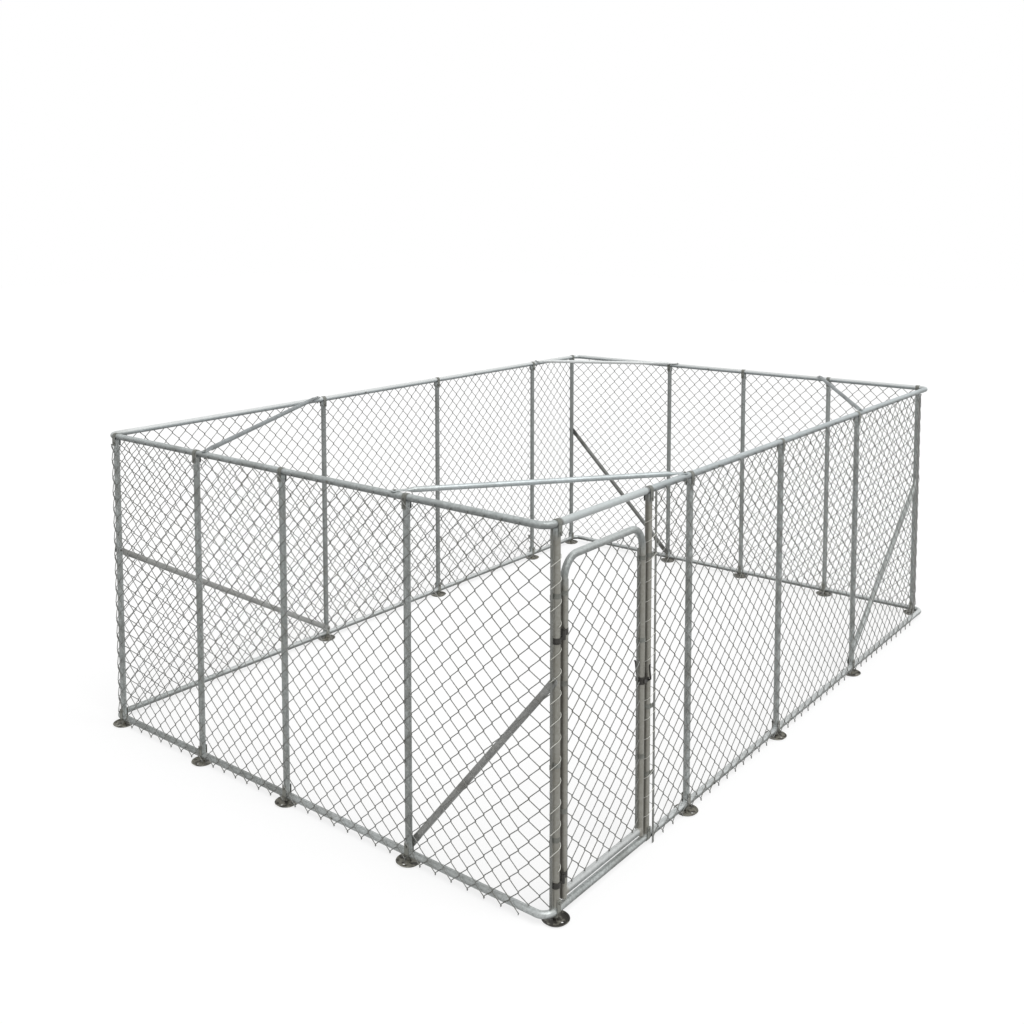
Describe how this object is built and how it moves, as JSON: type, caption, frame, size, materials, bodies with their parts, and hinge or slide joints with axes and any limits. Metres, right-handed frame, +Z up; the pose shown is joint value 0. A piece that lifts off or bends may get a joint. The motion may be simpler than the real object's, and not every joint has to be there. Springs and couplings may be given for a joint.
{
  "type": "outdoor dog kennel run",
  "caption": "Free-standing rectangular dog run of galvanised tube with chain-link walls, diagonal braces, corner ties, round foot plates and a hinged gate with a fork latch.",
  "frame": {"origin": "middle of the plan at ground level, under the feet", "axes": "+X along the gate wall from the hinge corner, +Y from the gate wall to the back wall, +Z up"},
  "size_m": [4.6176, 3.1176, 1.6603],
  "materials": {
    "galvanised_tube": "hot-dip galvanised, satin",
    "galvanised_wire": "galvanised wire",
    "flat_bar": "galvanised flat bar",
    "pressed_zinc": "zinc-plated pressed strip, dull",
    "weathered_foot": "weathered pressed steel",
    "dark_steel": "black, satin"
  },
  "bodies": {
    "frame": {"top_rail_front": "galvanised_tube", "top_rail_right": "galvanised_tube", "top_rail_back": "galvanised_tube", "top_rail_left": "galvanised_tube", "bottom_rail_front": "galvanised_tube", "bottom_rail_right": "galvanised_tube", "bottom_rail_back": "galvanised_tube", "bottom_rail_left": "galvanised_tube", "top_elbow_front": "galvanised_tube", "top_elbow_right": "galvanised_tube", "top_elbow_back": "galvanised_tube", "top_elbow_left": "galvanised_tube", "bottom_elbow_front": "galvanised_tube", "bottom_elbow_right": "galvanised_tube", "bottom_elbow_back": "galvanised_tube", "bottom_elbow_left": "galvanised_tube", "corner_post_front": "galvanised_tube", "corner_post_right": "galvanised_tube", "corner_post_back": "galvanised_tube", "corner_post_left": "galvanised_tube", "latch_post": "galvanised_tube", "front_post_1": "galvanised_tube", "front_post_2": "galvanised_tube", "front_post_3": "galvanised_tube", "right_post_1": "galvanised_tube", "right_post_2": "galvanised_tube", "right_post_3": "galvanised_tube", "back_post_1": "galvanised_tube", "back_post_2": "galvanised_tube", "back_post_3": "galvanised_tube", "left_post_1": "galvanised_tube", "left_post_2": "galvanised_tube", "left_post_3": "galvanised_tube", "brace_front": "galvanised_tube", "brace_right": "galvanised_tube", "brace_back": "galvanised_tube", "brace_left": "galvanised_tube", "corner_tie_front": "galvanised_tube", "corner_tie_right": "galvanised_tube", "corner_tie_back": "galvanised_tube", "corner_tie_left": "galvanised_tube", "post_saddles": "pressed_zinc", "foot_plates": "weathered_foot", "frame_bolts": "dark_steel", "net_front": "galvanised_wire", "net_right": "galvanised_wire", "net_back": "galvanised_wire", "net_left": "galvanised_wire", "net_ties": "galvanised_wire", "tension_bars": "flat_bar", "tension_bands": "pressed_zinc", "hinge_pintles": "dark_steel"},
    "gate": {"gate_bow": "galvanised_tube", "gate_bottom_rail": "galvanised_tube", "gate_net": "galvanised_wire", "gate_tension_bars": "flat_bar", "gate_bands": "pressed_zinc", "gate_hinge_eyes": "dark_steel", "latch_collar": "dark_steel"},
    "fork": {"latch_fork": "dark_steel"}
  },
  "joints": [
    {"name": "gate_swing", "type": "hinge", "parent": "frame", "child": "gate", "pos_m": [-2.161, -1.516, 0.165], "axis": [0, 0, -1], "range_deg": [0, 120]},
    {"name": "fork_turn", "type": "hinge", "parent": "gate", "child": "fork", "pos_m": [-1.522, -1.5, 0.785], "axis": [0, 1, 0], "range_deg": [0, 100]}
  ]
}
